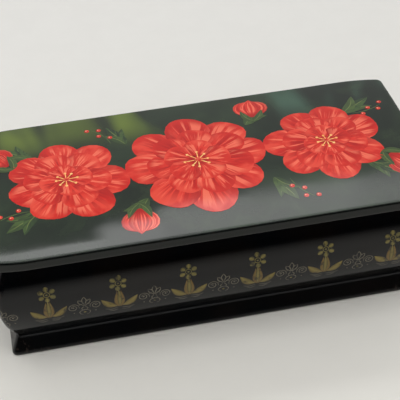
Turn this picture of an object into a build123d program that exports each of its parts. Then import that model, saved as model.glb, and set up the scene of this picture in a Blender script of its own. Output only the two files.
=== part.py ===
from build123d import *
import os

# A long lacquered papier-mache trinket box with a hinged, gently arched lid.
# Its walls are convex from rim to foot, and it stands on a flared plinth.
# Sizes are in millimetres. The origin is on the table under the middle of the lid.
# X runs along the box, -Y is the front, +Y the hinge side and +Z is up.

# Lid panel: a plate that overhangs the body all round, whose long edges draw in near their ends
lid_length = 181.0
lid_width = 85.5
lid_edge_height = 4.5
lid_crown = 2.0
lid_thickness = 4.1
lid_draw_in = 2.8
lid_draw_length = 18.4
lid_corner_radius = 3.0
lid_top_round = 1.0
lid_bottom_chamfer = 0.2

# Locating frame under the lid, which drops inside the rim
lip_depth = 2.0
lip_thickness = 2.0
lip_clearance = 0.35
lip_chamfer = 0.5

# Body shell: convex outside, straight inside
body_height = 41.0
body_foot_inset = 8.2
body_belly_inset = 2.3
body_corner_round = 2.5
rim_width = 3.5
rim_chamfer = 0.3
cavity_corner_radius = 3.0

# Bottom board inside the walls, and the flared plinth below them
bottom_thickness = 3.0
bottom_clearance = 0.1
plinth_height = 7.5
plinth_front_inset = 3.6
plinth_end_inset = 4.3
plinth_ledge = 0.6
plinth_corner_round = 2.5
plinth_top_chamfer = 0.3
plinth_bottom_round = 1.0
plinth_recess_depth = 1.0
plinth_rim_width = 8.0

# Seam between the rim and the closed lid
seam_gap = 0.15

# Two brass butt hinges let into the rim and the lid's underside
hinge_length = 16.0
hinge_end_distance = 38.0
hinge_setback = 3.0
knuckle_radius = 1.6
knuckle_gap = 0.15
centre_knuckle_length = 5.4
leaf_thickness = 0.7
leaf_margin = 0.7
leaf_clearance = 0.1
hinge_notch_clearance = 0.3
hinge_pin_radius = 0.7
hinge_pin_clearance = 0.05
hinge_pin_proud = 0.4
hinge_pin_chamfer = 0.3

# Square-cut brass brads that hold the leaves, filed flush with them
nail_width = 1.1
nail_length = 3.2
nail_clearance = 0.03
nail_spacing = 10.0

# Heights and half sizes that follow from the sizes above
rim_z = plinth_height + body_height
lid_z = rim_z + seam_gap
edge_top_z = lid_z + lid_edge_height
crown_z = edge_top_z + lid_crown
cavity_inset = body_foot_inset + rim_width
lip_inset = cavity_inset + lip_clearance
pocket_inset = lip_inset + lip_thickness
hinge_y = lid_width / 2 - body_foot_inset + hinge_setback
hinge_z = lid_z - (knuckle_radius - leaf_thickness)
leaf_front_y = lid_width / 2 - cavity_inset + leaf_margin
nail_y = (leaf_front_y + lid_width / 2 - body_foot_inset) / 2
side_knuckle_length = (hinge_length - centre_knuckle_length) / 2 - knuckle_gap

# Two places closer than this are the same
point_tolerance = 1e-3


def plan(inset, corner_radius, z):
    """Rounded rectangle at height z, set in from the lid's edge by inset."""
    outline = RectangleRounded(lid_length - 2 * inset, lid_width - 2 * inset, corner_radius)
    return Pos(0, 0, z) * outline


def lid_plan(z):
    """Outline of the lid at height z: straight sides, drawn in by arcs before small round corners."""
    x = lid_length / 2
    y = lid_width / 2
    arc = TangentArc((x - lid_draw_length, y), (x, y - lid_draw_in), tangent=(1, 0))
    end = Line((x, y - lid_draw_in), (x, 0))
    quarter = Line((0, y), (x - lid_draw_length, y)) + arc + end
    half = quarter + mirror(quarter, Plane.XZ)
    outline = make_face(half + mirror(half, Plane.YZ))
    corners = [v for v in outline.vertices() if abs(abs(v.Y) - (y - lid_draw_in)) < point_tolerance]
    return Pos(0, 0, z) * fillet(corners, lid_corner_radius)


def block(x, y, z):
    """Box between three pairs of limits."""
    size = Box(x[1] - x[0], y[1] - y[0], z[1] - z[0])
    return Pos((x[0] + x[1]) / 2, (y[0] + y[1]) / 2, (z[0] + z[1]) / 2) * size


def rod(radius, x, y, z):
    """Cylinder along X between two limits, about the line through y and z."""
    barrel = Rot(0, 90, 0) * Cylinder(radius, x[1] - x[0])
    return Pos((x[0] + x[1]) / 2, y, z) * barrel


def prism_x(wire, length):
    """Closed outline in the YZ plane, drawn out both ways along X."""
    return extrude(make_face(wire), amount=length / 2, both=True, dir=(1, 0, 0))


def edges_at(solid, z):
    """Edges that lie wholly at height z."""
    return [e for e in solid.edges() if on_level(e, z)]


def on_level(edge, z):
    """True where the whole edge is at height z."""
    box = edge.bounding_box()
    return abs(box.min.Z - z) < point_tolerance and abs(box.max.Z - z) < point_tolerance


def arch(half_width, edge_z, mid_z):
    """Arc over the width of the lid, as a wire's upper side."""
    return ThreePointArc((0, -half_width, edge_z), (0, 0, mid_z), (0, half_width, edge_z))


def arched_bar(length, bottom_z, edge_z, mid_z):
    """Bar along X, as wide as the lid, with a flat bottom and an arched top."""
    half = lid_width / 2
    walls = Polyline((0, half, edge_z), (0, half, bottom_z), (0, -half, bottom_z), (0, -half, edge_z))
    return prism_x(arch(half, edge_z, mid_z) + walls, length)


def hinge_places():
    """Middle of each hinge along X, with the side's name."""
    middle = lid_length / 2 - hinge_end_distance
    return (("left", -middle), ("right", middle))


def nail_places(hinge_x):
    """Brad positions along X on one leaf."""
    return (hinge_x - nail_spacing / 2, hinge_x + nail_spacing / 2)


def nail_at(x, surface_z, point, clearance=0.0):
    """Square brad that is flush at surface_z and points up (+1) or down (-1)."""
    width = nail_width + 2 * clearance
    length = nail_length + clearance
    return Pos(x, nail_y, surface_z + point * length / 2) * Box(width, width, length)


def lid_panel():
    """Arched plate with a shallow pocket below and seats for both hinges."""
    plate = arched_bar(lid_length, lid_z, edge_top_z, crown_z)
    plate = plate & extrude(lid_plan(lid_z), crown_z - lid_z)
    top = [e for e in plate.edges() if e.bounding_box().min.Z > edge_top_z - lid_top_round]
    plate = fillet(top, lid_top_round)
    plate = chamfer(edges_at(plate, lid_z), lid_bottom_chamfer)
    ceiling = arched_bar(lid_length, lid_z, edge_top_z - lid_thickness, crown_z - lid_thickness)
    opening = extrude(plan(pocket_inset, cavity_corner_radius, lid_z), crown_z - lid_z)
    plate -= ceiling & opening
    for name, x in hinge_places():
        plate -= hinge_notch(x)
        plate -= lid_leaf_seat(x)
        for nail_x in nail_places(x):
            plate -= nail_at(nail_x, lid_z, 1, nail_clearance)
    return plate


def hinge_notch(x):
    """Round groove that leaves the knuckles room to turn."""
    reach = hinge_length / 2 + hinge_pin_proud + hinge_notch_clearance
    return rod(knuckle_radius + hinge_notch_clearance, (x - reach, x + reach), hinge_y, hinge_z)


def lid_leaf_seat(x):
    """Shallow seat for a leaf in the lid's underside."""
    reach = hinge_length / 2 + leaf_clearance
    return block(
        (x - reach, x + reach), (leaf_front_y - leaf_clearance, hinge_y), (lid_z, lid_z + leaf_thickness)
    )


def rim_leaf_seat(x):
    """Shallow seat for a leaf in the top of the back wall."""
    reach = hinge_length / 2 + leaf_clearance
    return block(
        (x - reach, x + reach), (leaf_front_y - leaf_clearance, hinge_y), (rim_z - leaf_thickness, rim_z)
    )


def lid_lip_frame():
    """Frame glued under the lid that drops inside the rim."""
    bottom_z = lid_z - lip_depth
    outer = extrude(plan(lip_inset, cavity_corner_radius, bottom_z), lip_depth)
    inner = extrude(plan(pocket_inset, cavity_corner_radius, bottom_z), lip_depth)
    frame = outer - inner
    return chamfer(edges_at(frame, bottom_z), lip_chamfer)


def crossed(width_face, length_face):
    """Solid with one upright section over its width and one over its length, mitred at its corners."""
    along = extrude(Plane.YZ * width_face, amount=lid_length / 2, both=True)
    across = extrude(Plane.XZ * length_face, amount=lid_width / 2, both=True)
    return along & across


def ridges(solid, height):
    """The four mitred corner edges of a crossed solid of that height."""
    return [e for e in solid.edges() if e.bounding_box().size.Z > height / 2]


def convex_face(half_length):
    """Upright section of the body: two convex sides between flat ends."""
    foot = half_length - body_foot_inset
    belly = half_length - body_belly_inset
    middle_z = plinth_height + body_height / 2
    right = ThreePointArc((foot, plinth_height), (belly, middle_z), (foot, rim_z))
    left = ThreePointArc((-foot, rim_z), (-belly, middle_z), (-foot, plinth_height))
    ends = Line((foot, rim_z), (-foot, rim_z)) + Line((-foot, plinth_height), (foot, plinth_height))
    return make_face(right + left + ends)


def body_shell():
    """Four convex walls in one wound shell, open above and below."""
    shell = crossed(convex_face(lid_width / 2), convex_face(lid_length / 2))
    shell = fillet(ridges(shell, body_height), body_corner_round)
    shell -= extrude(plan(cavity_inset, cavity_corner_radius, plinth_height), body_height)
    shell = chamfer(edges_at(shell, rim_z), rim_chamfer)
    for name, x in hinge_places():
        shell -= rim_leaf_seat(x)
        for nail_x in nail_places(x):
            shell -= nail_at(nail_x, rim_z, -1, nail_clearance)
    return shell


def bottom_board():
    """Floor of the box, glued inside the walls on top of the plinth."""
    inset = cavity_inset + bottom_clearance
    return extrude(plan(inset, cavity_corner_radius, plinth_height), bottom_thickness)


def flared_face(half_length, foot_inset):
    """Upright section of the plinth: two straight sides that flare out to the foot."""
    foot = half_length - foot_inset
    top = half_length - body_foot_inset + plinth_ledge
    corners = [(-foot, 0), (foot, 0), (top, plinth_height), (-top, plinth_height)]
    return make_face(Polyline(*corners, close=True))


def plinth():
    """Base that flares out below the body, recessed underneath."""
    front = flared_face(lid_width / 2, plinth_front_inset)
    end = flared_face(lid_length / 2, plinth_end_inset)
    base = crossed(front, end)
    base = fillet(ridges(base, plinth_height), plinth_corner_round)
    base = fillet(edges_at(base, 0), plinth_bottom_round)
    base = chamfer(edges_at(base, plinth_height), plinth_top_chamfer)
    recess_inset = plinth_end_inset + plinth_rim_width
    return base - extrude(plan(recess_inset, plinth_corner_round, 0), plinth_recess_depth)


def knuckle_spans(x):
    """Limits along X of one hinge's left, centre and right knuckles."""
    start = x - hinge_length / 2
    end = x + hinge_length / 2
    half = centre_knuckle_length / 2
    return (start, start + side_knuckle_length), (x - half, x + half), (end - side_knuckle_length, end)


def hinge_bore(x):
    """Hole through all the knuckles of one hinge."""
    reach = (x - hinge_length / 2, x + hinge_length / 2)
    return rod(hinge_pin_radius + hinge_pin_clearance, reach, hinge_y, hinge_z)


def leaf(x, bottom_z, own_spans, other_spans, surface_z, point):
    """Leaf plate with its own knuckles, cut away round the other leaf's."""
    reach = (x - hinge_length / 2, x + hinge_length / 2)
    part = block(reach, (leaf_front_y, hinge_y), (bottom_z, bottom_z + leaf_thickness))
    for start, end in other_spans:
        span = (start - knuckle_gap, end + knuckle_gap)
        part -= rod(knuckle_radius + leaf_clearance, span, hinge_y, hinge_z)
    for span in own_spans:
        part += rod(knuckle_radius, span, hinge_y, hinge_z)
    part -= hinge_bore(x)
    for nail_x in nail_places(x):
        part -= nail_at(nail_x, surface_z, point, nail_clearance)
    return part


def body_leaf(x):
    """Leaf in the rim, which carries the two outer knuckles."""
    left, centre, right = knuckle_spans(x)
    return leaf(x, rim_z - leaf_thickness, (left, right), (centre,), rim_z, -1)


def lid_leaf(x):
    """Leaf under the lid, which carries the centre knuckle."""
    left, centre, right = knuckle_spans(x)
    return leaf(x, lid_z, (centre,), (left, right), lid_z, 1)


def hinge_pin(x):
    """Pin through one hinge's knuckles, with rounded ends."""
    reach = hinge_length / 2 + hinge_pin_proud
    pin = rod(hinge_pin_radius, (x - reach, x + reach), hinge_y, hinge_z)
    return chamfer(pin.edges().filter_by(GeomType.CIRCLE), hinge_pin_chamfer)


def leaf_nails(surface_z, point):
    """All the brads of the leaves on one side of the seam, as separate solids."""
    places = [nail_x for name, x in hinge_places() for nail_x in nail_places(x)]
    return Compound(children=[Part() + nail_at(nail_x, surface_z, point) for nail_x in places])


def build():
    """Every sub-part by its node's name."""
    parts = {
        "lid_panel": lid_panel(),
        "lid_lip_frame": lid_lip_frame(),
        "body_shell": body_shell(),
        "bottom_board": bottom_board(),
        "plinth": plinth(),
        "body_leaf_nails": leaf_nails(rim_z, -1),
        "lid_leaf_nails": leaf_nails(lid_z, 1),
    }
    for name, x in hinge_places():
        parts["hinge_" + name + "_body_leaf"] = body_leaf(x)
        parts["hinge_" + name + "_lid_leaf"] = lid_leaf(x)
        parts["hinge_" + name + "_pin"] = hinge_pin(x)
    return parts


os.makedirs("parts", exist_ok=True)
for node, part in build().items():
    export_step(part, "parts/" + node + ".step")
print("hinge axis y", round(hinge_y, 3), "z", round(hinge_z, 3), "top", round(crown_z, 3))
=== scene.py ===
import math
import random

import bpy
from mathutils import Matrix, Vector


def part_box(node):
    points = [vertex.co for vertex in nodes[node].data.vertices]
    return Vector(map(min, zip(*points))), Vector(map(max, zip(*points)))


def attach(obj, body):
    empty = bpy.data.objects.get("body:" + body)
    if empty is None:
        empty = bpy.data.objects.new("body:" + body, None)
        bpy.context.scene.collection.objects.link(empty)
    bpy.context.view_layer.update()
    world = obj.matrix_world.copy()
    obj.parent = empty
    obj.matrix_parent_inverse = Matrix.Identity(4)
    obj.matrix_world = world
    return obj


# A lacquered papier-mache trinket box: black outside with a gold band, red inside,
# and a bouquet of red flowers on a dark green lid. The scene is in metres, with +X along
# the box, +Y towards its hinges and +Z up. Lengths of the box are in millimetres times MM.
# Scales of noise over the object are in waves per metre.
MM = 0.001

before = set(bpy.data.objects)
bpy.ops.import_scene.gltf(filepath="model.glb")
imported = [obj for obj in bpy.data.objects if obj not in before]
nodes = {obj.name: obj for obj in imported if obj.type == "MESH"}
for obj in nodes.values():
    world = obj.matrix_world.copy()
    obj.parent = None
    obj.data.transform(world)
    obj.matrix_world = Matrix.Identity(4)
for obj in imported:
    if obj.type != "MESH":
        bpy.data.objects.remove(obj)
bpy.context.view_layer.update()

lid_low, lid_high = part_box("lid_panel")
body_low, body_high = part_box("body_shell")
lip_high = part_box("lid_lip_frame")[1]

# Forms of the CAD solids that the paint follows
lid_edge_height = 4.5 * MM
lid_crown = 2.0 * MM
lip_thickness = 2.0 * MM
wall_bulge = 5.9 * MM
wall_corner_round = 2.5 * MM
rim_width = 3.5 * MM

lid_half_width = lid_high.y
lid_edge_z = lid_low.z + lid_edge_height
lid_arch_radius = (lid_half_width ** 2 + lid_crown ** 2) / (2 * lid_crown)
wall_half_height = (body_high.z - body_low.z) / 2
belly_z = body_low.z + wall_half_height
wall_radius = (wall_half_height ** 2 + wall_bulge ** 2) / (2 * wall_bulge)
cavity_half_length = body_high.x - wall_bulge - rim_width
cavity_half_width = body_high.y - wall_bulge - rim_width

# Height of the lowest paint and of each layer on it, and depth of its underside in the lacquer
paint_lift = 0.012 * MM
paint_layer = 0.005 * MM
paint_root = 0.06 * MM

# The photograph's camera: 400 pixels wide, solved from the outline of the box
image_pixels = 400
focal_pixels = 1196.5
camera_yaw = math.radians(10.28)
camera_elevation = math.radians(39.60)
camera_roll = math.radians(-2.31)
camera_target = Vector((7.29 * MM, 40.25 * MM, 0))
camera_distance = 552.65 * MM
sensor_width = 36.0


# Surfaces that the paint lies on

def arch_height(y):
    """Height of the lid's arched top above its edge line."""
    return math.sqrt(lid_arch_radius ** 2 - y * y) - (lid_arch_radius - lid_crown)


def wall_drop(z):
    """How far a wall lies inside its own belly at height z."""
    return wall_radius - math.sqrt(wall_radius ** 2 - (z - belly_z) ** 2)


def on_lid(plan_x, plan_y, lift):
    """Point on the lid's top for plan coordinates in millimetres."""
    x, y = plan_x * MM, plan_y * MM
    return Vector((x, y, lid_edge_z + arch_height(y) + lift))


class Side:
    """One wall: directions out of it and along it, with its half length and its distance out."""

    def __init__(self, out, along, half_length, distance):
        self.out = Vector(out)
        self.along = Vector(along)
        self.half_length = half_length
        self.distance = distance

    def straight_part(self, z):
        """Half length of the wall between its rounded corners at height z."""
        return self.half_length - wall_drop(z) - wall_corner_round

    def point(self, run, z, lift):
        """Point at a run along the wall from its middle, bent round the corner where it ends."""
        distance = self.distance - wall_drop(z)
        straight = self.straight_part(z)
        sign = math.copysign(1, run)
        beyond = abs(run) - straight
        if beyond <= 0:
            flat = self.along * run + self.out * (distance + lift)
            return Vector((flat.x, flat.y, z))
        centre = self.along * sign * straight + self.out * (distance - wall_corner_round)
        turn = min(beyond / wall_corner_round, math.pi / 2)
        rest = beyond - turn * wall_corner_round
        round_part = self.out * math.cos(turn) + self.along * sign * math.sin(turn)
        flat = centre + round_part * (wall_corner_round + lift) - self.out * rest
        return Vector((flat.x, flat.y, z))

    def corner_run(self, z):
        """Run to the middle of the rounded corner at height z."""
        return self.straight_part(z) + wall_corner_round * math.pi / 4


front = Side((0, -1, 0), (1, 0, 0), body_high.x, body_high.y)
right = Side((1, 0, 0), (0, 1, 0), body_high.y, body_high.x)
back = Side((0, 1, 0), (-1, 0, 0), body_high.x, body_high.y)
left = Side((-1, 0, 0), (0, -1, 0), body_high.y, body_high.x)


# Brushwork

# Rows along and columns across a dab of each kind
dot_grid = (8, 4)
leaf_grid = (14, 6)
petal_grid = (14, 10)
cup_grid = (10, 4)
gold_leaf_grid = (12, 6)

# A round or pointed dab keeps this share of its width at its ends
end_share = 0.03

# Paint is shaded smooth up to this angle
smooth_angle = math.radians(40)


class Paint:
    """Thin closed dabs of paint that share one mesh.

    Each point carries stroke = (across, along, seed) and tint for the material."""

    def __init__(self, name, place):
        self.name = name
        self.place = place
        self.points = []
        self.faces = []
        self.strokes = []
        self.tints = []

    def dab(self, shape, rows, columns, layer=0, seed=0.0, tint=0.0, place=None):
        """Dab over shape(across, along), with across from -1 to 1 and along from 0 to 1."""
        place = place or self.place
        lift = paint_lift + paint_layer * layer
        start = len(self.points)
        for height in (lift, -paint_root):
            for row in range(rows + 1):
                along = (1 - math.cos(math.pi * row / rows)) / 2
                for column in range(columns + 1):
                    across = 2 * column / columns - 1
                    self.points.append(place(*shape(across, along), height))
                    self.strokes.append((across, along, seed))
                    self.tints.append(tint)
        self.close(start, rows, columns, turned(shape))

    def close(self, start, rows, columns, flip):
        """Faces of one dab: top, underside and the rim between them."""
        width = columns + 1
        under = (rows + 1) * width
        cells = []
        for row in range(rows):
            for column in range(columns):
                corner = start + row * width + column
                cell = [corner, corner + 1, corner + 1 + width, corner + width]
                cells.append(cell)
                cells.append([point + under for point in reversed(cell)])
        for first, second in rim_pairs(rows, columns, width):
            first, second = start + first, start + second
            cells.append([second, first, first + under, second + under])
        for cell in cells:
            self.faces.append(cell[::-1] if flip else cell)

    def stroke(self, spine, half_width, rows, columns=2, **options):
        """Dab along spine(along), as wide as half_width(along) says on either side."""
        nudge = 0.004

        def shape(across, along):
            x0, y0 = spine(max(along - nudge, 0.0))
            x1, y1 = spine(min(along + nudge, 1.0))
            length = math.hypot(x1 - x0, y1 - y0) or 1.0
            x, y = spine(along)
            reach = across * half_width(along)
            return x + reach * (y1 - y0) / length, y - reach * (x1 - x0) / length
        self.dab(shape, rows, columns, **options)

    def build(self, material, body):
        """Makes the object, which rides on its body."""
        mesh = bpy.data.meshes.new(self.name)
        mesh.from_pydata([tuple(point) for point in self.points], [], self.faces)
        stroke = mesh.attributes.new("stroke", "FLOAT_VECTOR", "POINT")
        stroke.data.foreach_set("vector", [value for row in self.strokes for value in row])
        tint = mesh.attributes.new("tint", "FLOAT", "POINT")
        tint.data.foreach_set("value", self.tints)
        mesh.shade_smooth()
        mesh.set_sharp_from_angle(angle=smooth_angle)
        mesh.materials.append(material)
        piece = bpy.data.objects.new(self.name, mesh)
        bpy.context.scene.collection.objects.link(piece)
        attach(piece, body)


def turned(shape):
    """True where a shape's across and along run the wrong way round for an outward face."""
    x0, y0 = shape(0.0, 0.5)
    x1, y1 = shape(0.1, 0.5)
    x2, y2 = shape(0.0, 0.52)
    return (x1 - x0) * (y2 - y0) - (y1 - y0) * (x2 - x0) < 0


def rim_pairs(rows, columns, width):
    """Neighbouring points round a grid's rim, in order."""
    ring_points = list(range(columns))
    ring_points += [row * width + columns for row in range(rows)]
    ring_points += [rows * width + column for column in range(columns, 0, -1)]
    ring_points += [row * width for row in range(rows, 0, -1)]
    return list(zip(ring_points, ring_points[1:] + ring_points[:1]))


def smooth_line(points):
    """Smooth curve through the given points, as a function of 0 to 1."""
    ends = [mirrored(points[0], points[1])] + list(points) + [mirrored(points[-1], points[-2])]
    spans = len(points) - 1

    def at(along):
        place = min(along * spans, spans - 1e-6)
        span = int(place)
        t = place - span
        p0, p1, p2, p3 = ends[span:span + 4]
        return tuple(cubic(p0[i], p1[i], p2[i], p3[i], t) for i in (0, 1))
    return at


def mirrored(end, inner):
    """Point as far beyond an end as its neighbour is inside it."""
    return 2 * end[0] - inner[0], 2 * end[1] - inner[1]


def cubic(p0, p1, p2, p3, t):
    """One coordinate of the smooth span from p1 to p2, for t from 0 to 1."""
    return 0.5 * (2 * p1 + (p2 - p0) * t + (2 * p0 - 5 * p1 + 4 * p2 - p3) * t ** 2
                  + (3 * p1 - p0 - 3 * p2 + p3) * t ** 3)


def tapered(half_width, tip=0.12):
    """Width of a brush line that swells in its middle."""
    return lambda along: half_width * (tip + (1 - tip) * math.sin(math.pi * along) ** 0.6)


def rounded(half_width):
    """Width of a round or oval dab."""
    return lambda along: half_width * max(math.sqrt(max(1 - (2 * along - 1) ** 2, 0)), end_share)


def leaf_width(half_width, belly=0.42):
    """Width of a leaf that is widest at its belly and pointed at its tip."""
    power = math.log(0.5) / math.log(belly)
    return lambda along: half_width * max(math.sin(math.pi * along ** power) ** 0.85, end_share)


def dot(paint, centre, radius, layer, seed, tint=0.0, place=None):
    """Round dab of paint."""
    ends = [(centre[0] - radius, centre[1]), (centre[0] + radius, centre[1])]
    paint.stroke(smooth_line(ends), rounded(radius), *dot_grid,
                 layer=layer, seed=seed, tint=tint, place=place)


# Node trees

class Nodes:
    """Short calls for the nodes of one tree."""

    def __init__(self, tree):
        self.tree = tree

    def node(self, kind, **settings):
        made = self.tree.nodes.new(kind)
        for key, value in settings.items():
            setattr(made, key, value)
        return made

    def feed(self, socket, value):
        """Links a socket to an output, or sets its value."""
        if isinstance(value, bpy.types.NodeSocket):
            self.tree.links.new(value, socket)
        else:
            socket.default_value = value

    def math(self, operation, first, second=0.0, third=0.0, clamp=False):
        made = self.node("ShaderNodeMath", operation=operation, use_clamp=clamp)
        for socket, value in zip(made.inputs, (first, second, third)):
            self.feed(socket, value)
        return made.outputs[0]

    def product(self, first, second):
        return self.math("MULTIPLY", first, second)

    def scaled(self, value, factor, offset):
        """Value times factor, plus offset."""
        return self.math("MULTIPLY_ADD", value, factor, offset)

    def parts(self, vector):
        made = self.node("ShaderNodeSeparateXYZ")
        self.feed(made.inputs[0], vector)
        return made.outputs

    def step(self, value, low, high, ends=(0.0, 1.0)):
        """Smooth step of value from low to high, between the two end values."""
        made = self.node("ShaderNodeMapRange", interpolation_type="SMOOTHSTEP")
        self.feed(made.inputs["Value"], value)
        self.feed(made.inputs["From Min"], low)
        self.feed(made.inputs["From Max"], high)
        self.feed(made.inputs["To Min"], ends[0])
        self.feed(made.inputs["To Max"], ends[1])
        return made.outputs["Result"]


class Look(Nodes):
    """A material under construction."""

    def __init__(self, name):
        self.material = bpy.data.materials.new(name)
        self.material.use_nodes = True
        super().__init__(self.material.node_tree)
        self.shader = self.tree.nodes["Principled BSDF"]
        self.point = self.node("ShaderNodeTexCoord").outputs["Object"]

    def vector(self, operation, first, second):
        made = self.node("ShaderNodeVectorMath", operation=operation)
        self.feed(made.inputs[0], first)
        self.feed(made.inputs[1], second)
        return made.outputs[0]

    def joined(self, x, y, z):
        made = self.node("ShaderNodeCombineXYZ")
        for socket, value in zip(made.inputs, (x, y, z)):
            self.feed(socket, value)
        return made.outputs[0]

    def noise(self, scale, detail=3.0, roughness=0.5, distortion=0.0, place=None):
        """Noise over the object's own coordinates, or over the given place."""
        made = self.node("ShaderNodeTexNoise")
        self.feed(made.inputs["Vector"], place or self.point)
        self.feed(made.inputs["Scale"], scale)
        self.feed(made.inputs["Detail"], detail)
        self.feed(made.inputs["Roughness"], roughness)
        self.feed(made.inputs["Distortion"], distortion)
        return made.outputs[0]

    def mix(self, share, first, second):
        """Mix of two colours, which are the node's inputs 6 and 7, and its output 2."""
        made = self.node("ShaderNodeMix", data_type="RGBA")
        self.feed(made.inputs["Factor"], share)
        self.feed(made.inputs[6], first)
        self.feed(made.inputs[7], second)
        return made.outputs[2]

    def over(self, base, paint, share, most):
        """Base with paint over it, by a share of at most this much."""
        return self.mix(self.product(share, most), base, paint)

    def inset(self, value, edge):
        """How far a coordinate lies inside an edge, on either side of the middle."""
        return self.math("SUBTRACT", edge, self.math("ABSOLUTE", value))

    def soft_edges(self, radius):
        """Normal that rounds off the solid's sharp edges."""
        made = self.node("ShaderNodeBevel", samples=6)
        self.feed(made.inputs["Radius"], radius)
        return made.outputs[0]

    def bump(self, height, depth, normal=None):
        made = self.node("ShaderNodeBump")
        self.feed(made.inputs["Strength"], 1.0)
        self.feed(made.inputs["Distance"], depth)
        self.feed(made.inputs["Height"], height)
        if normal:
            self.feed(made.inputs["Normal"], normal)
        return made.outputs[0]

    def attribute(self, name, output):
        return self.node("ShaderNodeAttribute", attribute_name=name).outputs[output]

    def stroke(self):
        """Across, along and seed of the dab of paint."""
        return self.parts(self.attribute("stroke", "Vector"))

    def tint(self):
        return self.attribute("tint", "Fac")

    def set(self, **values):
        """Sets the shader's sockets by name, with _ for a space."""
        for key, value in values.items():
            self.feed(self.shader.inputs[key.replace("_", " ")], value)


def colour(red, green, blue):
    """Linear colour of an sRGB value from 0 to 255."""
    def linear(value):
        share = value / 255
        return share / 12.92 if share <= 0.04045 else ((share + 0.055) / 1.055) ** 2.4
    return linear(red), linear(green), linear(blue), 1.0


# Colours

black_brown = colour(9, 6, 5)
black_cool = colour(3, 4, 6)
rubbed_brown = colour(46, 33, 26)
edge_green = colour(9, 18, 13)
cinnabar = colour(168, 34, 20)
cinnabar_dark = colour(148, 27, 17)

ground_dark = colour(18, 28, 20)
ground_light = colour(38, 54, 36)
ground_fleck = colour(50, 66, 42)
haze_moss = colour(104, 122, 46)
haze_teal = colour(66, 96, 80)

petal_deep = colour(184, 14, 8)
petal_bright = colour(212, 36, 24)
petal_orange = colour(226, 62, 44)
petal_blotch = colour(228, 88, 66)
petal_stroke = colour(236, 110, 84)
petal_line = colour(156, 6, 6)
petal_throat = colour(150, 6, 6)
petal_shade = colour(152, 10, 8)
petal_lit = colour(236, 98, 76)

leaf_dark = colour(38, 58, 34)
leaf_light = colour(60, 82, 42)
leaf_vein = colour(34, 50, 32)
leaf_fresh = colour(88, 106, 52)
leaf_rib = colour(112, 126, 68)
stamen_dark = colour(236, 160, 84)
stamen_light = colour(250, 204, 130)
berry_light = colour(255, 176, 150)

gold_flower = colour(80, 76, 34)
gold_leaf_brown = colour(104, 72, 6)
gold_leaf_olive = colour(106, 88, 20)
gold_grain = colour(108, 97, 44)
# Painted highlight for the middle of a gold dab, and painted shade for its edges
gold_highlight = colour(130, 115, 52)
gold_edge_shade = colour(40, 34, 14)
gold_line = colour(92, 86, 72)
brass_bright = colour(222, 182, 104)
brass_dull = colour(138, 102, 54)

# Paper darker in front of the box than behind it: a painted falloff of the light that comes from
# behind
shaded_paper_front = colour(219, 217, 210)
lit_paper_back = colour(224, 223, 219)
paper_fleck = colour(190, 188, 184)


# Lacquers and paints

lacquer_ior = 1.4

# How far the lacquer and the paint round off a sharp edge
lid_softness = 1.0 * MM
wall_softness = 0.9 * MM
plinth_softness = 1.8 * MM
inner_softness = 0.45 * MM
paint_softness = 0.03 * MM

# How high the waves left by polishing are, and how many times as high the lid's long swell is
wave_depth = 0.004 * MM
lid_wave_depth = 0.006 * MM
lid_swell = 42.0

# How much rougher the plinth is than the walls
plinth_dullness = 0.08


def polished(look, softness, depth=wave_depth, swell=0.0):
    """Normal of a hand-polished lacquer: soft edges, short waves, a fine tooth and a long swell."""
    waves = look.noise(90.0, 2.0)
    tooth = look.noise(900.0, 3.0, 0.6)
    height = look.scaled(tooth, 0.25, waves)
    if swell:
        height = look.scaled(look.noise(26.0, 2.0, 0.4), swell, height)
    return look.bump(height, depth, look.soft_edges(softness))


def inside_of(look, half_length, half_width, soft=0.1 * MM):
    """1 where a point lies inside an upright rectangle about the Z axis."""
    x, y, _ = look.parts(look.point)
    in_x = look.step(look.math("ABSOLUTE", x), half_length + soft, half_length - soft)
    in_y = look.step(look.math("ABSOLUTE", y), half_width + soft, half_width - soft)
    return look.product(in_x, in_y)


def uneven_red(look):
    """Colour of the red lacquer inside."""
    return look.mix(look.step(look.noise(60.0, 4.0, 0.6), 0.35, 0.7), cinnabar_dark, cinnabar)


def uneven_black(look):
    """Colour of the black lacquer, cool and brownish by turns."""
    return look.mix(look.step(look.noise(45.0, 4.0, 0.55), 0.35, 0.7), black_cool, black_brown)


def chipped(look, low, high):
    """1 in the small spots where a worn edge has lost its gloss."""
    return look.step(look.noise(420.0, 5.0, 0.65), low, high)


def black_lacquer(name, softness, dullness=0.0):
    """Polished black lacquer, red inside the box, rubbed brown along its edges."""
    look = Look(name)
    x, y, z = look.parts(look.point)

    # Distance from the corner ridges and from the rim, where hands rub the lacquer
    height = look.math("SUBTRACT", z, belly_z)
    drop = look.math("DIVIDE", look.product(height, height), 2 * wall_radius)
    from_end = look.math("SUBTRACT", look.inset(x, body_high.x), drop)
    from_side = look.math("SUBTRACT", look.inset(y, body_high.y), drop)
    ridge = look.step(look.math("ADD", from_end, from_side), 2.6 * MM, 1.2 * MM)
    rim = look.step(z, body_high.z - 0.5 * MM, body_high.z - 0.1 * MM)
    rubbed = look.math("MAXIMUM", ridge, rim)
    wear = look.math("MULTIPLY", rubbed, chipped(look, 0.52, 0.66), clamp=True)
    outside = look.over(uneven_black(look), rubbed_brown, wear, 0.55)

    beyond = 0.15 * MM
    within = inside_of(look, cavity_half_length + beyond, cavity_half_width + beyond)
    below_rim = look.step(z, body_high.z - 0.1 * MM, body_high.z - 0.4 * MM)
    red = look.product(within, below_rim)
    base = look.mix(red, outside, uneven_red(look))

    rough = look.step(look.noise(26.0, 5.0, 0.6), 0.3, 0.8, (0.07, 0.16))
    rough = look.scaled(wear, 0.2, rough)
    rough = look.scaled(red, 0.12, rough)
    rough = look.math("ADD", rough, dullness)
    look.set(Base_Color=base, Roughness=rough, IOR=lacquer_ior)
    look.set(Normal=polished(look, softness))
    return look.material


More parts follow.
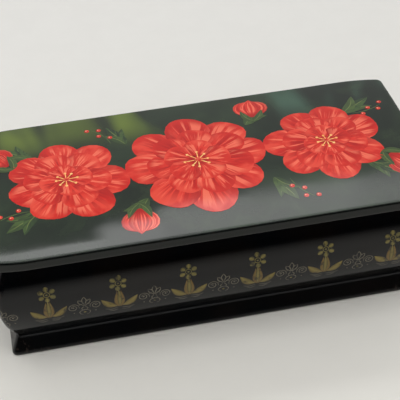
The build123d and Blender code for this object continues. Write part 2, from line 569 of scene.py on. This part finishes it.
def red_lacquer():
    """Red lacquer of the bottom board and of the lid's locating frame."""
    look = Look("red_lacquer")
    rough = look.step(look.noise(40.0, 5.0, 0.6), 0.3, 0.8, (0.18, 0.34))
    look.set(Base_Color=uneven_red(look), Roughness=rough, IOR=lacquer_ior)
    look.set(Normal=polished(look, inner_softness))
    return look.material


def painted_lid():
    """Dark green ground on top, nearly black edges, and red underneath within the locating frame."""
    look = Look("painted_lid")
    x, y, z = look.parts(look.point)

    # Depth below the arched top tells the painted top from the edges and the underside
    fall = look.math("DIVIDE", look.product(y, y), 2 * lid_arch_radius)
    top_z = look.math("SUBTRACT", lid_edge_z + lid_crown, fall)
    depth = look.math("SUBTRACT", top_z, z)
    top = look.step(depth, 0.30 * MM, 0.06 * MM)

    broad = look.noise(17.0, 3.0, 0.5, 0.6)
    fine = look.noise(70.0, 5.0, 0.6, 0.4)
    ground = look.mix(look.step(broad, 0.35, 0.68), ground_dark, ground_light)
    ground = look.mix(look.step(fine, 0.45, 0.75, (0.0, 0.4)), ground, ground_fleck)

    # Blurred foliage towards the back: moss green on the left, teal on the right
    haze_place = look.vector("MULTIPLY", look.point, (34.0, 12.0, 0.0))
    to_right = look.step(x, 10 * MM, 50 * MM)
    haze = look.scaled(to_right, 0.08, look.noise(1.0, 2.0, 0.45, 0.4, haze_place))
    haze = look.product(look.step(haze, 0.51, 0.69), look.step(y, 14 * MM, 34 * MM))
    haze_colour = look.mix(look.step(x, 5 * MM, 45 * MM), haze_moss, haze_teal)
    ground = look.over(ground, haze_colour, haze, 0.8)

    sides = look.mix(0.5, uneven_black(look), edge_green)
    edge = look.product(look.step(depth, 0.1 * MM, 0.5 * MM), look.step(depth, 1.3 * MM, 0.8 * MM))
    wear = look.product(edge, chipped(look, 0.55, 0.68))
    sides = look.over(sides, rubbed_brown, wear, 0.5)
    base = look.mix(top, sides, ground)

    inner = 0.1 * MM - lip_thickness
    within = inside_of(look, lip_high.x + inner, lip_high.y + inner)
    pocket = look.product(within, look.step(depth, 2 * MM, 3 * MM))
    base = look.mix(pocket, base, uneven_red(look))
    return varnished(look, base, lid_softness)


def varnished(look, base, softness=paint_softness):
    """The lid's lacquer over this base colour, the same over paint and ground."""
    x = look.parts(look.point)["X"]
    rough = look.step(look.noise(22.0, 6.0, 0.6), 0.3, 0.8, (0.04, 0.09))
    rough = look.math("ADD", rough, look.step(x, -60 * MM, 30 * MM, (0.01, 0.07)))
    look.set(Base_Color=base, Roughness=rough, IOR=lacquer_ior)
    look.set(Normal=polished(look, softness, lid_wave_depth, lid_swell))
    return look.material


def petal_paint():
    """Red petals: dark throat, bold light strokes, a pale blotch at the end, one side in shade."""
    look = Look("petal_paint")
    across, along, seed = look.stroke()
    shift = look.product(seed, 37.0)
    streak_place = look.joined(look.scaled(across, 4.6, shift), look.product(along, 0.8), shift)
    streak = look.noise(1.0, 3.0, 0.6, place=streak_place)
    broad_place = look.joined(look.scaled(across, 1.2, shift), look.product(along, 1.6), shift)
    broad = look.noise(1.2, 3.0, place=broad_place)

    red = look.mix(look.step(broad, 0.32, 0.66), petal_deep, petal_bright)
    red = look.over(red, petal_orange, look.tint(), 0.7)
    blotch = look.product(look.step(broad, 0.47, 0.60), look.step(along, 0.5, 0.95))
    red = look.over(red, petal_blotch, blotch, 0.45)
    middle = look.product(look.step(along, 0.14, 0.34), look.step(along, 0.99, 0.8))
    red = look.over(red, petal_stroke, look.product(look.step(streak, 0.52, 0.59), middle), 0.85)
    lines = look.product(look.step(streak, 0.46, 0.40), look.step(along, 1.0, 0.55))
    red = look.over(red, petal_line, lines, 0.75)
    red = look.over(red, petal_throat, look.step(along, 0.34, 0.05), 0.75)
    red = look.over(red, petal_shade, look.step(across, 0.35, 1.0), 0.55)
    lit_side = look.product(look.step(across, -0.7, -0.98), look.step(along, 0.3, 0.8))
    red = look.over(red, petal_lit, lit_side, 0.35)
    return varnished(look, red)


def leaf_paint():
    """Dark green leaves with dark veins, a light rib and one light half."""
    look = Look("leaf_paint")
    across, along, seed = look.stroke()
    shift = look.product(seed, 23.0)
    reach = look.math("ABSOLUTE", across)
    slant = look.math("SUBTRACT", look.product(along, 9.0), look.product(reach, 2.2))
    vein_place = look.joined(slant, look.product(reach, 0.5), shift)
    vein = look.noise(1.0, 2.0, place=vein_place)
    green = look.mix(look.step(across, -0.25, 0.35), leaf_dark, leaf_light)
    green = look.mix(look.step(vein, 0.42, 0.62), green, leaf_vein)
    green = look.over(green, leaf_fresh, look.tint(), 0.7)
    rib = look.product(look.step(reach, 0.14, 0.03), look.step(along, 0.95, 0.7))
    green = look.over(green, leaf_rib, rib, 0.75)
    return varnished(look, green)


def stamen_paint():
    """Yellow of the stamens, and with a tint the lights on the berries."""
    look = Look("stamen_paint")
    grain = look.step(look.noise(700.0, 3.0), 0.35, 0.65)
    yellow = look.mix(grain, stamen_dark, stamen_light)
    return varnished(look, look.mix(look.tint(), yellow, berry_light))


# The tint tells the gold paint what a dab belongs to: a flower, a sheath, a leaf or a line
flower_tint = 0.0
sheath_tint = 0.55
leaf_tint = 1.0
line_tint = 2.0


def gold_paint():
    """Bronze powder paint under lacquer: olive flowers, browner leaves, thin worn places, with a
    painted highlight along each dab's middle and painted shade at its edges.
    """
    look = Look("gold_paint")
    across, _, seed = look.stroke()
    tint = look.tint()
    reach = look.math("ABSOLUTE", across)
    is_leaf = look.product(look.step(tint, 0.4, 0.9), look.step(tint, 1.8, 1.2))
    is_line = look.step(tint, 1.2, 1.8)

    leaf = look.mix(look.step(seed, 0.2, 0.8), gold_leaf_brown, gold_leaf_olive)
    gold = look.mix(is_leaf, gold_flower, leaf)
    grain = look.noise(900.0, 4.0, 0.7)
    gold = look.mix(look.step(grain, 0.4, 0.65, (0.0, 0.5)), gold, gold_grain)
    # Painted highlight along each dab's middle and painted shade along its edges give a relief that
    # the flat paint lacks; the edge shade also draws the dark lines between overlapping lobes
    ridge = look.product(look.step(reach, 0.7, 0.1), look.step(seed, 0.05, 0.5, (0.25, 0.75)))
    gold = look.mix(ridge, gold, gold_highlight)
    rim = look.product(look.step(reach, 0.62, 0.98), look.scaled(is_leaf, 0.2, 0.6))
    gold = look.mix(rim, gold, gold_edge_shade)
    gold = look.mix(is_line, gold, gold_line)
    worn = look.step(look.noise(330.0, 4.0, 0.6), 0.46, 0.32)
    gold = look.over(gold, black_brown, worn, 0.8)

    flakes = look.noise(2200.0, 2.0)
    look.set(Base_Color=gold, Metallic=0.3, Roughness=look.step(grain, 0.3, 0.7, (0.3, 0.5)))
    look.set(Normal=look.bump(flakes, 0.01 * MM), Coat_Weight=0.3, Coat_Roughness=0.12)
    return look.material


def brass():
    """Drawn brass, handled smooth, dull in places."""
    look = Look("brass")
    grain_place = look.vector("MULTIPLY", look.point, (40.0, 900.0, 900.0))
    drawn = look.noise(1.0, 3.0, 0.6, place=grain_place)
    tarnish = look.step(look.noise(240.0, 4.0, 0.6), 0.45, 0.7)
    metal = look.over(brass_bright, brass_dull, tarnish, 0.55)
    rough = look.scaled(tarnish, 0.15, look.step(drawn, 0.3, 0.7, (0.2, 0.36)))
    look.set(Base_Color=metal, Metallic=1.0, Roughness=rough)
    look.set(Normal=look.bump(drawn, 0.006 * MM))
    return look.material


def dress_cad():
    """A material for every CAD node."""
    red = red_lacquer()
    metal = brass()
    looks = {
        "lid_panel": painted_lid(),
        "lid_lip_frame": red,
        "bottom_board": red,
        "body_shell": black_lacquer("wall_lacquer", wall_softness),
        "plinth": black_lacquer("plinth_lacquer", plinth_softness, plinth_dullness),
    }
    for name, node in nodes.items():
        node.data.materials.clear()
        node.data.materials.append(looks.get(name, metal))


# The bouquet on the lid, in plan millimetres from the lid's middle. Everything but the middle
# flower is drawn twice, half a turn apart.

# Rings of petals, outermost first: how many, and their reach as a share of the radius
full_rings = ((8, 1.0), (7, 0.74), (5, 0.46))
small_rings = ((7, 1.0), (6, 0.7), (4, 0.42))
petal_overlap = 1.34
full_radius = 30.5
small_radius = 25.5
small_place = (54, 0)

# A spray has a root, an angle in degrees and the lengths of its leaves, a bud has a root, an angle
# and a length, and a sprig has a start and an angle.
sprays = (
    ((24, 19), 50, (12, 17, 13)),
    ((27, -18), -66, (12, 16, 12)),
    ((66, 17), 34, (14, 17, 14)),
    ((66, -17), -38, (13, 16, 12)),
)
buds = (((74, -12), -50, 18), ((28, 21), 84, 17))
sprigs = (((70, 16), 2), ((33, -20), -74))

# Parts of a flower, as shares of its radius
petal_root_share = 0.04
heart_share = 0.07
stamen_share = 0.17

stamen_count = 8
stamen_half_width = 0.24
anther_radius = 0.55

# Half width of a leaf as a share of its length, and turns from leaf to leaf and along one, in radians
leaf_slimness = 0.17
leaf_spread = 0.42
leaf_bend = 0.22

# A sprig's stalk turns by its curl at each berry, and the berry stands off by its own turn, in radians
sprig_berries = 4
sprig_curl = 0.16
stalk_half_width = 0.22
berry_spacing = 3.6
berry_turn = 1.1
berry_reach = 1.7
berry_radius = 1.05
berry_light_radius = 0.28
berry_light_offset = (-0.25, 0.3)

# Layers of paint, from the ground up
stalk_layer = 1
bud_layer = 2
berry_layer = 3
flower_layer = 4
cup_layer = 7
middle_flower_layer = 8
berry_light_layer = 9

# How many layers each ring of petals takes
ring_layers = 4


def away(start, angle, distance):
    """Point at this distance from a start, in this direction."""
    return start[0] + distance * math.cos(angle), start[1] + distance * math.sin(angle)


def fan_petal(centre, direction, inner, outer, half_angle, wobble):
    """Fan-shaped petal of a flower: narrow at the heart, round and a little uneven at its end."""
    lobes, phase = wobble

    def shape(across, along):
        spread = half_angle * (0.42 + 0.58 * along ** 0.7)
        shoulder = 1 - 0.30 * abs(across) ** 2.6
        ripple = 1 + 0.022 * math.sin(lobes * across + phase)
        reach = inner + (outer * shoulder * ripple - inner) * along
        return away(centre, direction + across * spread * (1 - 0.1 * along ** 6), reach)
    return shape


def rosette(petals, stamens, centre, radius, turn, rings, chance, layer=flower_layer):
    """Full flower of rings of fan petals, the inner rings on top, round a tuft of stamens."""
    for ring_index, (count, share) in enumerate(rings):
        outer = radius * share
        for index in range(count):
            direction = turn + 2 * math.pi * (index + 0.5 * ring_index) / count
            direction += chance.uniform(-0.08, 0.08)
            half_angle = math.pi / count * petal_overlap
            wobble = (chance.uniform(2.5, 4.5), chance.uniform(0, 6.28))
            length = outer * chance.uniform(0.92, 1.05)
            root = radius * petal_root_share
            shape = fan_petal(centre, direction, root, length, half_angle, wobble)
            # Petals that overlap lie in different layers, and so do the last and the first
            above = layer + ring_index * ring_layers + (index % 3 if index < count - 1 else 3)
            tint = 0.12 * ring_index + chance.uniform(0, 0.3)
            petals.dab(shape, *petal_grid, layer=above, seed=chance.random(), tint=tint)
    heart_layer = layer + ring_layers * len(rings)
    dot(petals, centre, radius * heart_share, heart_layer, chance.random())
    tuft(stamens, centre, radius * stamen_share, chance, heart_layer + 1)


def tuft(stamens, centre, reach, chance, layer):
    """Stamens: short pale lines with a dot at each end."""
    for index in range(stamen_count):
        angle = 2 * math.pi * index / stamen_count + chance.uniform(-0.15, 0.15)
        end = away(centre, angle, reach * chance.uniform(0.75, 1.1))
        line = smooth_line([away(centre, angle, reach * 0.2), end])
        stamens.stroke(line, tapered(stamen_half_width), rows=4, layer=layer, seed=chance.random())
        dot(stamens, end, anther_radius, layer + 1, chance.random())


def leaf_spray(leaves, root, angle, lengths, chance):
    """Leaves that fan out from one root."""
    middle = (len(lengths) - 1) / 2
    for index, length in enumerate(lengths):
        own = angle + (index - middle) * leaf_spread
        bend = leaf_bend * (index - middle)
        line = smooth_line([root, away(root, own - bend, 0.5 * length), away(root, own, length)])
        leaves.stroke(line, leaf_width(length * leaf_slimness), *leaf_grid, layer=index % 3,
                      seed=chance.random(), tint=chance.uniform(0, 0.5))


def bud(petals, leaves, root, angle, length, chance):
    """Closed bud: three red petals in a green cup, on a short stalk."""
    def aside(along, side):
        return (root[0] + along * math.cos(angle) - side * math.sin(angle),
                root[1] + along * math.sin(angle) + side * math.cos(angle))

    def line(*points):
        """Curve through points given as shares of the length: along the bud and to its side."""
        return smooth_line([aside(along * length, side * length) for along, side in points])

    for above, (side, end) in enumerate(((-1, 0.92), (1, 0.92), (0, 1.0))):
        petals.stroke(line((0.18, 0), (0.6, side * 0.2), (end, side * 0.1)),
                      leaf_width(length * 0.24, 0.5), *leaf_grid, layer=bud_layer + above,
                      seed=chance.random(), tint=0.2)
    for side in (-1, 1):
        leaves.stroke(line((0, 0), (0.2, side * 0.17), (0.5, side * 0.27)),
                      leaf_width(length * 0.1), *cup_grid, layer=cup_layer,
                      seed=chance.random(), tint=0.4)


def sprig(petals, leaves, stamens, start, angle, chance):
    """Curved stalk with berries on alternate sides."""
    spine = [start]
    for index in range(sprig_berries):
        spine.append(away(spine[-1], angle + sprig_curl * index, berry_spacing))
    leaves.stroke(smooth_line(spine), tapered(stalk_half_width), rows=4 * sprig_berries,
                  layer=stalk_layer, seed=chance.random(), tint=0.9)
    for index, place in enumerate(spine[1:]):
        turn = berry_turn if index % 2 else -berry_turn
        berry = away(place, angle + sprig_curl * index + turn, berry_reach)
        light = (berry[0] + berry_light_offset[0], berry[1] + berry_light_offset[1])
        dot(petals, berry, berry_radius, berry_layer, chance.random(), 0.1)
        dot(stamens, light, berry_light_radius, berry_light_layer, chance.random(), 1.0)


def bouquet():
    """Three full flowers, buds, leaves and berries, the same after half a turn."""
    chance = random.Random(11)
    petals = Paint("lid_petals", on_lid)
    leaves = Paint("lid_leaves", on_lid)
    stamens = Paint("lid_stamens", on_lid)

    for turn in (0, math.pi):
        def spun(place):
            return (place[0] * math.cos(turn) - place[1] * math.sin(turn),
                    place[0] * math.sin(turn) + place[1] * math.cos(turn))
        for root, degrees, lengths in sprays:
            leaf_spray(leaves, spun(root), turn + math.radians(degrees), lengths, chance)
        for root, degrees, length in buds:
            bud(petals, leaves, spun(root), turn + math.radians(degrees), length, chance)
        for start, degrees in sprigs:
            angle = turn + math.radians(degrees)
            sprig(petals, leaves, stamens, spun(start), angle, chance)
        rosette(petals, stamens, spun(small_place), small_radius, turn + 0.3, small_rings, chance)
    rosette(petals, stamens, (0, 0), full_radius, 0.1, full_rings, chance, middle_flower_layer)

    petals.build(petal_paint(), "lid")
    leaves.build(leaf_paint(), "lid")
    stamens.build(stamen_paint(), "lid")


# The gold band on the walls, in millimetres: across from a motif's middle, and up from the table

motif_spacing = 27.9
band_shift = 0.9

flower_heart = (0, 32.3)
flower_petals = 6
flower_petal_root = 1.5
flower_petal_tip = 3.75
flower_petal_half_width = 1.08
flower_ring_radius = 1.2
flower_ring_half_width = 0.2
flower_dot_radius = 0.45
foot_line_half_width = 0.22

scroll_line_half_width = 0.21
drop_foot = (0, 23.4)
spiral_middle = (4.4, 22.9)
spiral_radius = 2.3
eye_height = 19.3
eye_size = (2.1, 1.65)

# Layers of the flower motif above its spread leaves
blade_layer = 2
sheath_layer = 3
gold_flower_layer = 4


def on_wall(side, run, corner=False):
    """Placing function for a motif whose middle is at that run, or at the side's corner."""
    def place(across, height, lift):
        z = height * MM
        middle = side.corner_run(z) if corner else run
        return side.point(middle + across * MM, z, lift)
    return place


def on_side(side, *points):
    """The points of a right half for side 1, or mirrored for side -1."""
    return [(side * across, up) for across, up in points]


def flower_motif(gold, place, chance):
    """Six round petals about a ringed dot, on three blades between spread leaves, over fine lines."""
    turn = chance.uniform(-0.15, 0.15)

    def leaf(points, half_width, belly, seed, layer=0, tint=leaf_tint):
        gold.stroke(smooth_line(points), leaf_width(half_width, belly), *gold_leaf_grid,
                    layer=layer, seed=seed, tint=tint, place=place)

    for side in (-1, 1):
        sway = chance.uniform(-0.5, 0.5)
        spread = on_side(side, (0.9, 19.7), (4.1, 21.2), (7.2, 24.5 + sway))
        leaf(spread, 1.7, 0.52, chance.uniform(0.6, 1))
        for reach, up in ((5.8, 18.6), (4.4, 17.4)):
            points = on_side(side, (0.8, up + 0.1), (reach * 0.6, up - 0.5), (reach, up + 0.3))
            gold.stroke(smooth_line(points), tapered(foot_line_half_width, 0.3), rows=8,
                        seed=chance.random(), tint=line_tint, place=place)
    for side in (-1, 1):
        blade = on_side(side, (0.3, 19.2), (1.25, 23.0), (0.75, 28.6))
        leaf(blade, 0.95, 0.48, chance.uniform(0, 0.15), blade_layer)
    sheath = [(0, 19.4), (0.1, 24.0), (0, 29.2)]
    leaf(sheath, 0.95, 0.5, chance.uniform(0.5, 0.8), sheath_layer, sheath_tint)
    for index in range(flower_petals):
        angle = math.pi / 2 + index * 2 * math.pi / flower_petals + turn
        tip = away(flower_heart, angle, flower_petal_tip + chance.uniform(-0.15, 0.15))
        petal = smooth_line([away(flower_heart, angle, flower_petal_root), tip])
        gold.stroke(petal, rounded(flower_petal_half_width), *dot_grid, layer=gold_flower_layer,
                    seed=chance.random(), tint=flower_tint, place=place)

    def ring(along):
        return away(flower_heart, 2 * math.pi * along, flower_ring_radius)
    gold.stroke(ring, lambda along: flower_ring_half_width, rows=14, layer=gold_flower_layer,
                seed=chance.random(), tint=flower_tint, place=place)
    dot(gold, flower_heart, flower_dot_radius, gold_flower_layer, chance.random(), flower_tint, place)


def scroll_motif(gold, place, chance):
    """Fine lines: three drops above two spirals, and an open eye below."""
    def draw(line, rows=12):
        gold.stroke(line, tapered(scroll_line_half_width, 0.4), rows,
                    seed=chance.random(), tint=line_tint, place=place)

    def spot(centre, radius, tint=line_tint):
        dot(gold, centre, radius, 0, chance.random(), tint, place)

    for lean, length, half in ((-0.62, 4.2, 0.8), (0.0, 4.9, 0.9), (0.62, 4.2, 0.8)):
        def drop(across, up):
            return (drop_foot[0] + across * math.cos(lean) + up * math.sin(lean),
                    drop_foot[1] + up * math.cos(lean) - across * math.sin(lean))
        for side in (-1, 1):
            points = [drop(0, 0), drop(side * half, length * 0.62), drop(0, length)]
            draw(smooth_line(points), rows=8)
    for side in (-1, 1):
        def spiral(along):
            """A turn and a half inwards."""
            angle = math.radians(200 - 560 * along)
            across, up = away(spiral_middle, angle, spiral_radius - 1.5 * along)
            return side * across, up
        draw(spiral, rows=30)
        draw(smooth_line(on_side(side, (0.4, 23.2), (1.2, 24.4), (2.2, 24.0))), rows=6)
        spot((side * spiral_middle[0], spiral_middle[1]), 0.42)
        draw(smooth_line(on_side(side, (0.3, 22.9), (1.2, 21.9), (0.9, 21.0))), rows=6)
        spot((side * 4.3, 19.4), 0.3)

    def eye(along):
        """Oval that is open at its foot."""
        angle = math.radians(-70 + 320 * along)
        return eye_size[0] * math.cos(angle), eye_height + eye_size[1] * math.sin(angle)
    draw(eye, rows=22)
    spot((0, eye_height), 0.5, flower_tint)


def gold_band():
    """Flower motifs along each wall, with scrolls between them and round the corners."""
    chance = random.Random(5)
    gold = Paint("gold_band", None)

    # Each wall's number of flowers, and how far they are shifted along it
    walls = ((front, 6, band_shift), (right, 3, 0), (back, 6, band_shift), (left, 3, 0))
    for side, count, shift in walls:
        for index in range(count):
            run = ((index - (count - 1) / 2) * motif_spacing + shift) * MM
            flower_motif(gold, on_wall(side, run), chance)
            if index:
                scroll_motif(gold, on_wall(side, run - motif_spacing / 2 * MM), chance)
        scroll_motif(gold, on_wall(side, 0, corner=True), chance)
    gold.build(gold_paint(), "box_body")


# Stage, lights and camera, in metres

floor_half = 1.6
fade_start = 0.45
fade_end = 1.1

# How far from the lid the floor's mirror image begins to fade, and where it is gone
mirror_start = 37 * MM
mirror_end = 177 * MM

# Windows behind the box: place, size and radiance
windows = {
    "far_window": ((0.70, 0.765, 1.025), (0.60, 0.195), 2.8),
    "window": ((0.255, 0.765, 1.025), (0.29, 0.195), 3.5),
    "narrow_window": ((0.065, 0.742, 1.038), (0.09, 0.16), 4.2),
    "side_window": ((-0.405, 0.715, 1.055), (0.85, 0.135), 4.6),
}
window_aim_height = 0.05

# Softboxes over the box: place, aim, size, radiance, and the visibility that is switched off
softboxes = {
    "overhead": ((-0.2, -0.15, 1.05), (-0.2, -0.1, 0), (1.2, 0.6), 2.8, "visible_glossy"),
    "skylight": ((0.0, 0.12, 1.05), (0, 0.12, 0), (1.4, 0.6), 3.6, "visible_diffuse"),
    "front_strip": ((0.0, -0.62, 0.85), (0, -0.04, 0.01), (1.2, 0.2), 2.2, "visible_diffuse"),
}

# The room as the camera sees it, as a strength where 1 is white
room_level = 0.80
room_colour = (1.0, 0.99, 0.975, 1.0)


def floor_paper():
    """Pale paper, darker in front of the box by a painted falloff of light, that fades out far from
    the box, and sooner where the lacquer mirrors it.
    """
    look = Look("floor_paper")
    x, y, _ = look.parts(look.point)
    # Painted falloff of light: the paper is darker in front of the box than behind it
    paper = look.mix(look.step(y, -120 * MM, 260 * MM), shaded_paper_front, lit_paper_back)
    grain = look.step(look.noise(60.0, 4.0, 0.6), 0.3, 0.7, (0.0, 0.06))
    look.set(Base_Color=look.mix(grain, paper, paper_fleck), Roughness=0.6)

    distance = look.node("ShaderNodeVectorMath", operation="LENGTH")
    look.feed(distance.inputs[0], look.point)
    fade = look.step(distance.outputs["Value"], fade_start, fade_end)
    past_end = look.math("SUBTRACT", look.math("ABSOLUTE", x), lid_high.x)
    past_side = look.math("SUBTRACT", look.math("ABSOLUTE", y), lid_high.y)
    outside = look.math("MAXIMUM", past_end, past_side)
    glossy_ray = look.node("ShaderNodeLightPath").outputs["Is Glossy Ray"]
    mirror_fade = look.product(look.step(outside, mirror_start, mirror_end), glossy_ray)
    clear = look.node("ShaderNodeBsdfTransparent")
    blend = look.node("ShaderNodeMixShader")
    look.feed(blend.inputs[0], look.math("MAXIMUM", fade, mirror_fade))
    look.feed(blend.inputs[1], look.shader.outputs[0])
    look.feed(blend.inputs[2], clear.outputs[0])
    look.feed(look.tree.nodes["Material Output"].inputs["Surface"], blend.outputs[0])
    return look.material


def floor():
    """Sheet of paper that the box stands on."""
    half = floor_half
    corners = [(-half, -half, 0), (half, -half, 0), (half, half, 0), (-half, half, 0)]
    mesh = bpy.data.meshes.new("floor")
    mesh.from_pydata(corners, [], [(0, 1, 2, 3)])
    mesh.materials.append(floor_paper())
    sheet = bpy.data.objects.new("floor", mesh)
    bpy.context.scene.collection.objects.link(sheet)


def softbox(name, place, aim, size, radiance):
    """Rectangular lamp that shows this radiance."""
    lamp = bpy.data.lights.new(name, "AREA")
    lamp.shape = "RECTANGLE"
    lamp.size, lamp.size_y = size
    lamp.energy = radiance * math.pi * size[0] * size[1]
    holder = bpy.data.objects.new(name, lamp)
    holder.location = place
    holder.rotation_euler = (Vector(aim) - Vector(place)).to_track_quat("-Z", "Y").to_euler()
    bpy.context.scene.collection.objects.link(holder)
    return holder


def lamps():
    """Windows behind the box that its lid mirrors, and softboxes above it."""
    for name, (place, size, radiance) in windows.items():
        softbox(name, place, (place[0], 0, window_aim_height), size, radiance)
    for name, (place, aim, size, radiance, visibility) in softboxes.items():
        setattr(softbox(name, place, aim, size, radiance), visibility, False)


def room():
    """World that is pale to the camera, and mirrors dark in front of the box, overhead and below."""
    world = bpy.data.worlds.new("room")
    bpy.context.scene.world = world
    world.use_nodes = True
    sky = Nodes(world.node_tree)
    path = sky.node("ShaderNodeLightPath").outputs
    _, y, z = sky.parts(sky.node("ShaderNodeTexCoord").outputs["Generated"])

    def between(share, first, second):
        """First where the share is 0, and second where it is 1."""
        return sky.scaled(share, sky.math("SUBTRACT", second, first), first)

    # The light that falls on the box, and what its lacquer mirrors
    light = sky.step(y, -0.5, 0.5, (0.55, 0.38))
    behind = sky.step(y, -0.30, 0.05, (0.02, 0.70))
    below_zenith = sky.step(z, 0.81, 0.87, (1.0, 0.06))
    above_floor = sky.step(z, -0.12, 0.0, (0.03, 1.0))
    mirrored_room = sky.product(behind, sky.product(below_zenith, above_floor))
    seen = sky.math("MAXIMUM", path["Is Camera Ray"], path["Is Transmission Ray"])
    unseen = between(path["Is Glossy Ray"], light, mirrored_room)
    shade = sky.tree.nodes["Background"]
    sky.feed(shade.inputs["Strength"], between(seen, unseen, room_level))
    sky.feed(shade.inputs["Color"], room_colour)


def camera():
    """The photograph's viewpoint."""
    across = Vector((math.cos(camera_yaw), -math.sin(camera_yaw), 0))
    level = math.cos(camera_elevation)
    ahead = Vector((math.sin(camera_yaw) * level, math.cos(camera_yaw) * level,
                    -math.sin(camera_elevation)))
    up = across.cross(ahead)
    cosine, sine = math.cos(camera_roll), math.sin(camera_roll)
    rolled_across = across * cosine + up * sine
    rolled_up = up * cosine - across * sine
    place = camera_target - ahead * camera_distance
    lens = bpy.data.cameras.new("camera")
    lens.sensor_width = sensor_width
    lens.lens = focal_pixels * sensor_width / image_pixels
    lens.clip_start = 0.01
    lens.clip_end = 20.0
    holder = bpy.data.objects.new("camera", lens)
    bpy.context.scene.collection.objects.link(holder)
    columns = (rolled_across, rolled_up, -ahead, place)
    rows = [[column[i] for column in columns] for i in range(3)]
    holder.matrix_world = Matrix(rows + [[0, 0, 0, 1]])
    bpy.context.scene.camera = holder


bpy.context.scene.view_settings.view_transform = "Standard"
dress_cad()
bouquet()
gold_band()
floor()
lamps()
room()
camera()
